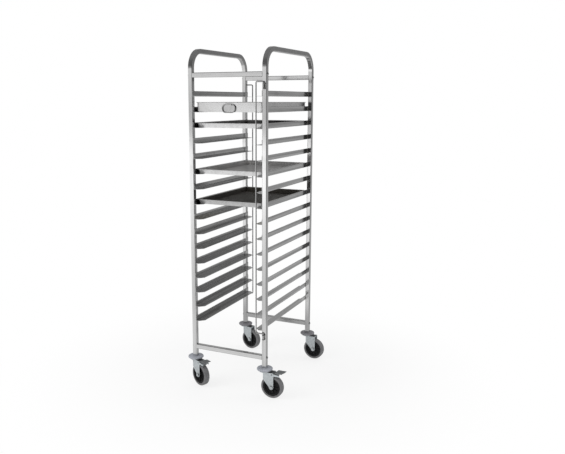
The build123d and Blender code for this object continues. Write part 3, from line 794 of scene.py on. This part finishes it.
HEAD_R, HEAD_H, SHANK_R, SHANK_L = 7 * MM, 5 * MM, 4 * MM, 35 * MM
SOCKET_W, SOCKET_DEEP = 5 * MM, 2.6 * MM
bolt = pattern("dome_bolt", bolt_mesh(HEAD_R, HEAD_H, SHANK_R, SHANK_L, SOCKET_W, SOCKET_DEEP))
bolt_places = []
for bar in CROSS_TUBES:
    low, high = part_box(bar)
    for sx in (-1, 1):
        bolt_places.append((sx * hoop_high.x, (low.y + high.y) / 2, (low.z + high.z) / 2))
bolts = grow("cross_tube_bolts", bolts_rule(), {"Bolt": bolt, "Material": BOLT_HEAD},
             "frame", bolt_places)
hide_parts("crossbar_bolts")


# ---------------------------------------------------------------- wheels and pedals

UP = Vector((0, 0, 1))
HUB_R, RIM_T, RIM_HALF, WEB_HALF = 13.5 * MM, 10 * MM, 13.5 * MM, 7.5 * MM
RIBS, RIB_FOOT, RIB_CREST, RIB_SUNK = 10, 1.7 * MM, 1.1 * MM, 1 * MM
BEAD_R, BEAD_HALF, BEAD_IN = 0.9 * MM, 15.7 * MM, 2 * MM
KNEE_L, KNEE_RISE, TIP_L, TIP_RISE, PEDAL_T = 58 * MM, 13 * MM, 16 * MM, 7 * MM, 3 * MM
GRIPS, GRIP_HALF, GRIP_FOOT, GRIP_CREST = 3, 9 * MM, 1.1 * MM, 0.6 * MM
GRIP_SUNK, GRIP_H, GRIP_FROM_KNEE, GRIP_FROM_TIP = 0.4 * MM, 0.9 * MM, 4 * MM, 3 * MM


def radius_of(node):
    low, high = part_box(node)
    return (high.z - low.z) / 2


spokes, side_rings, row = spokes_rule(), side_rings_rule(), row_rule()
core_r, tyre_r = radius_of("front_right_wheel_core"), radius_of("front_right_tyre")
rib = pattern("wheel_rib", tapered_bar(
    "wheel_rib", HUB_R - RIB_SUNK, core_r - RIM_T + RIB_SUNK, RIB_FOOT, RIB_CREST,
    spans=[(sign * WEB_HALF, sign * (RIM_HALF - RIB_SUNK)) for sign in (-1, 1)]))
for corner in CORNERS:
    hub = joints[corner + "_roll"]
    axis, place = Vector(hub["axis"]), Vector(hub["pos_m"])
    laid = {"Turn": UP.rotation_difference(axis).to_euler(), "Place": place}
    grow(corner + "_wheel_ribs", spokes,
         {"Spoke": rib, "Count": RIBS, "Material": FINISHES["core_black"], **laid},
         corner + "_wheel")
    grow(corner + "_tyre_beads", side_rings,
         {"Ring Radius": (core_r + tyre_r) / 2 - BEAD_IN, "Bead Radius": BEAD_R,
          "Half Width": BEAD_HALF, "Material": FINISHES["tyre_grey"], **laid},
         corner + "_wheel")

grip = pattern("pedal_grip", tapered_bar(
    "pedal_grip", -GRIP_HALF, GRIP_HALF, GRIP_FOOT, GRIP_CREST, spans=[(-GRIP_SUNK, GRIP_H)]))
for corner in BRAKED:
    pin = joints[corner + "_brake_press"]
    across, place = -Vector(pin["axis"]), Vector(pin["pos_m"])
    along = Vector((-across.y, across.x, 0))
    slope = (along * TIP_L + UP * TIP_RISE).normalized()
    knee = place + along * KNEE_L + UP * (KNEE_RISE + PEDAL_T)
    tip = knee + along * TIP_L + UP * TIP_RISE
    grip_turn = Matrix((across, slope, across.cross(slope))).transposed().to_euler()
    grow(corner + "_pedal_grips", row,
         {"Shape": grip, "Count": GRIPS, "First": knee + slope * GRIP_FROM_KNEE,
          "Last": tip - slope * GRIP_FROM_TIP, "Turn": grip_turn, "Material": DARK_ZINC},
         corner + "_brake")


# ---------------------------------------------------------------- trays and pan

RIM_R, RIM_IN, RIM_DOWN, RIM_CORNER = 1.7 * MM, 1.0 * MM, 0.6 * MM, 14 * MM
RIDGES, RIDGE_FOOT, RIDGE_CREST = 36, 1.5 * MM, 0.6 * MM
RIDGE_SUNK, RIDGE_H, RIDGE_CLEAR = 0.3 * MM, 1.0 * MM, 4 * MM
FLOOR_IN, SHEET_T = 19 * MM, 1.2 * MM
RIMMED = {"upper_tray": "dark_tray", "middle_tray": "bare_tray", "lower_tray": "black_tray",
          "deep_pan": "pan_steel"}

rim = rim_rule()
for node, slot in RIMMED.items():
    low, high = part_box(node)
    grow(node + "_rolled_rim", rim,
         {"Width": high.x - low.x - 2 * RIM_IN, "Length": high.y - low.y - 2 * RIM_IN,
          "Corner": RIM_CORNER - RIM_IN, "Bead Radius": RIM_R,
          "Place": ((low.x + high.x) / 2, (low.y + high.y) / 2, high.z - RIM_DOWN),
          "Material": FINISHES["pan_steel"]}, node)

low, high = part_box("lower_tray")
half_long = (high.y - low.y) / 2 - FLOOR_IN
ridge = pattern("floor_ridge", tapered_bar(
    "floor_ridge", -half_long, half_long, RIDGE_FOOT, RIDGE_CREST, spans=[(-RIDGE_SUNK, RIDGE_H)]))
ridge_x = high.x - FLOOR_IN - RIDGE_CLEAR
ridge_y, ridge_z = (low.y + high.y) / 2, low.z + SHEET_T
grow("lower_tray_ridges", row,
     {"Shape": ridge, "Count": RIDGES, "First": (-ridge_x, ridge_y, ridge_z),
      "Last": (ridge_x, ridge_y, ridge_z), "Turn": (0, 0, math.pi / 2),
      "Material": FINISHES["black_tray"]}, "lower_tray")


# ---------------------------------------------------------------- floor, light and camera

FLOOR_R, FLOOR_SIDES = 1.7, 96
# How much of the floor is plain white: the least near the trolley, all of it further out
SHADOW_R, FADE_SHARE, LEAST_WHITE = 0.45, 0.9, 0.78
# The floor's level in polished steel, from in front of the trolley to under it
MIRROR_FRONT, MIRROR_NEAR, FRONT_LEVEL, NEAR_LEVEL = -0.9, -0.3, 0.85, 0.42
# Levels that polished steel sees round it, over the rise of its mirrored ray from -0.5 to 0.5
RISE = (-0.5, 0.5)
SWEEP_LEVELS = [
    (0.0, 0.80), (0.14, 0.85), (0.22, 0.75), (0.31, 1.0), (0.38, 1.42), (0.43, 1.42),
    (0.455, 0.61), (0.50, 0.61), (0.53, 0.85), (0.57, 0.87), (0.66, 0.45), (0.75, 0.12),
    (1.0, 0.12)]
ROOM_LEVELS = [
    (0.0, 0.50), (0.30, 0.46), (0.45, 0.40), (0.52, 0.38), (0.555, 0.23), (0.60, 0.21),
    (0.66, 0.29), (0.85, 0.30), (1.0, 0.12)]
LOFT_LEVELS = [
    (0.0, 0.50), (0.30, 0.46), (0.45, 0.40), (0.52, 0.38), (0.56, 0.32), (0.61, 0.60),
    (0.64, 0.60), (0.68, 0.30), (0.85, 0.40), (1.0, 0.25)]
BEHIND_LEVELS = [(0.0, 0.45), (0.22, 0.20), (0.36, 0.04), (0.66, 0.03), (1.0, 0.10)]
OVERHEAD, SOFT_LIGHT = 0.20, 0.78
# Where one backdrop gives way to the next, as a part of the level direction or of the height
BACK_TO_FRONT, LOFT_TO_SWEEP, RIGHT_TO_LEFT = (0.05, -0.45), (0.35, -0.05), (0.12, -0.12)
TO_OVERHEAD, TO_FAR_SIDE, FAR_SIDE_DIM = (0.55, 0.85), (0.40, 0.51), 0.81
# The photograph's pinhole, in pixels, and where it stands
PICTURE_W, FOCAL, CENTRE_X = 565, 677.83, 258.0
SENSOR_W = 36.0
EYE, LOOK_DOWN, LOOK_LEFT = (1.6589, -3.46335, 1.57976), 10.571, 25.27
LAMP_AIM, LAMP_SIZE = (0.0, 0.0, 0.8), 2.2


def floor_disc():
    """A white floor that keeps the shadow near the trolley and fades out further away."""
    mesh = bmesh.new()
    bmesh.ops.create_circle(mesh, cap_ends=True, radius=FLOOR_R, segments=FLOOR_SIDES)
    made = plain_mesh("floor", mesh)
    floor = bpy.data.objects.new("floor", made)
    scene.collection.objects.link(floor)
    material, tree = finish("white floor", Base_Color=grey(0.9), Roughness=0.9)[:2]
    place = coordinates(tree)
    reach = put(tree, "ShaderNodeVectorMath", {0: place}, operation="LENGTH").outputs["Value"]
    light = put(tree, "ShaderNodeLightPath").outputs
    depth = axes(tree, place)[1]
    mirrored = between(tree, depth, MIRROR_FRONT, MIRROR_NEAR, FRONT_LEVEL, NEAR_LEVEL)
    level = blend_value(tree, light["Is Glossy Ray"], 1.0, mirrored)
    glow = put(tree, "ShaderNodeEmission", {"Color": WHITE, "Strength": level}).outputs[0]
    near = between(tree, reach, SHADOW_R, FLOOR_R * FADE_SHARE, LEAST_WHITE, 1.0)
    seen = sums(tree, "MAXIMUM", light["Is Camera Ray"], light["Is Glossy Ray"])
    paint = tree.nodes["Principled BSDF"].outputs[0]
    mixed = put(tree, "ShaderNodeMixShader", {0: times(tree, seen, near), 1: paint, 2: glow})
    feed(tree, tree.nodes["Material Output"].inputs["Surface"], mixed.outputs[0])
    made.materials.append(material)


def backdrop(tree, colour, strength=1.0):
    values = {"Color": colour, "Strength": strength}
    return put(tree, "ShaderNodeBackground", values).outputs[0]


def studio():
    """White to the camera; steel sees a white sweep in front on the left, a dim room elsewhere."""
    world = bpy.data.worlds.new("studio")
    world.use_nodes = True
    scene.world = world
    tree = world.node_tree
    tree.nodes.clear()
    way = coordinates(tree, "Generated")
    height = axes(tree, way)[2]
    flat = stretch(tree, way, (1.0, 1.0, 0.0))
    level = put(tree, "ShaderNodeVectorMath", {0: flat}, operation="NORMALIZE").outputs[0]
    side = axes(tree, level)
    rise = between(tree, height, *RISE, smooth=False)
    sweep, room = steps(tree, rise, SWEEP_LEVELS), steps(tree, rise, ROOM_LEVELS)
    loft, behind = steps(tree, rise, LOFT_LEVELS), steps(tree, rise, BEHIND_LEVELS)
    far_side = times(tree, room, between(tree, side[0], *TO_FAR_SIDE, 1.0, FAR_SIDE_DIM))
    right = blend_colour(tree, between(tree, side[1], *BACK_TO_FRONT), far_side, behind)
    left = blend_colour(tree, between(tree, side[1], *LOFT_TO_SWEEP), loft, sweep)
    around = blend_colour(tree, between(tree, side[0], *RIGHT_TO_LEFT), right, left)
    mirrored = blend_colour(tree, between(tree, height, *TO_OVERHEAD), around, grey(OVERHEAD))
    light = put(tree, "ShaderNodeLightPath").outputs
    lit = put(tree, "ShaderNodeMixShader", {
        0: light["Is Glossy Ray"], 1: backdrop(tree, WHITE, SOFT_LIGHT),
        2: backdrop(tree, mirrored)}).outputs[0]
    clear = sums(tree, "MAXIMUM", light["Is Camera Ray"], light["Is Transmission Ray"])
    shown = put(tree, "ShaderNodeMixShader", {0: clear, 1: lit, 2: backdrop(tree, WHITE)})
    put(tree, "ShaderNodeOutputWorld", {"Surface": shown.outputs[0]})


def lamp(name, place, power):
    """A soft round lamp that lights the trolley but isn't mirrored in it."""
    data = bpy.data.lights.new(name, "AREA")
    data.shape, data.size, data.energy = "DISK", LAMP_SIZE, power
    made = bpy.data.objects.new(name, data)
    scene.collection.objects.link(made)
    made.location = place
    made.rotation_euler = (Vector(LAMP_AIM) - Vector(place)).to_track_quat("-Z", "Y").to_euler()
    made.visible_glossy = False


def photo_camera():
    data = bpy.data.cameras.new("camera")
    data.sensor_fit, data.sensor_width = "HORIZONTAL", SENSOR_W
    data.lens = FOCAL / PICTURE_W * SENSOR_W
    data.shift_x = (PICTURE_W / 2 - CENTRE_X) / PICTURE_W
    made = bpy.data.objects.new("camera", data)
    scene.collection.objects.link(made)
    made.location = EYE
    made.rotation_euler = (math.radians(90 - LOOK_DOWN), 0.0, math.radians(LOOK_LEFT))
    scene.camera = made


floor_disc()
studio()
lamp("soft key", (-2.4, -2.6, 3.4), power=55.0)
lamp("soft fill", (2.8, 1.6, 3.2), power=18.0)
photo_camera()
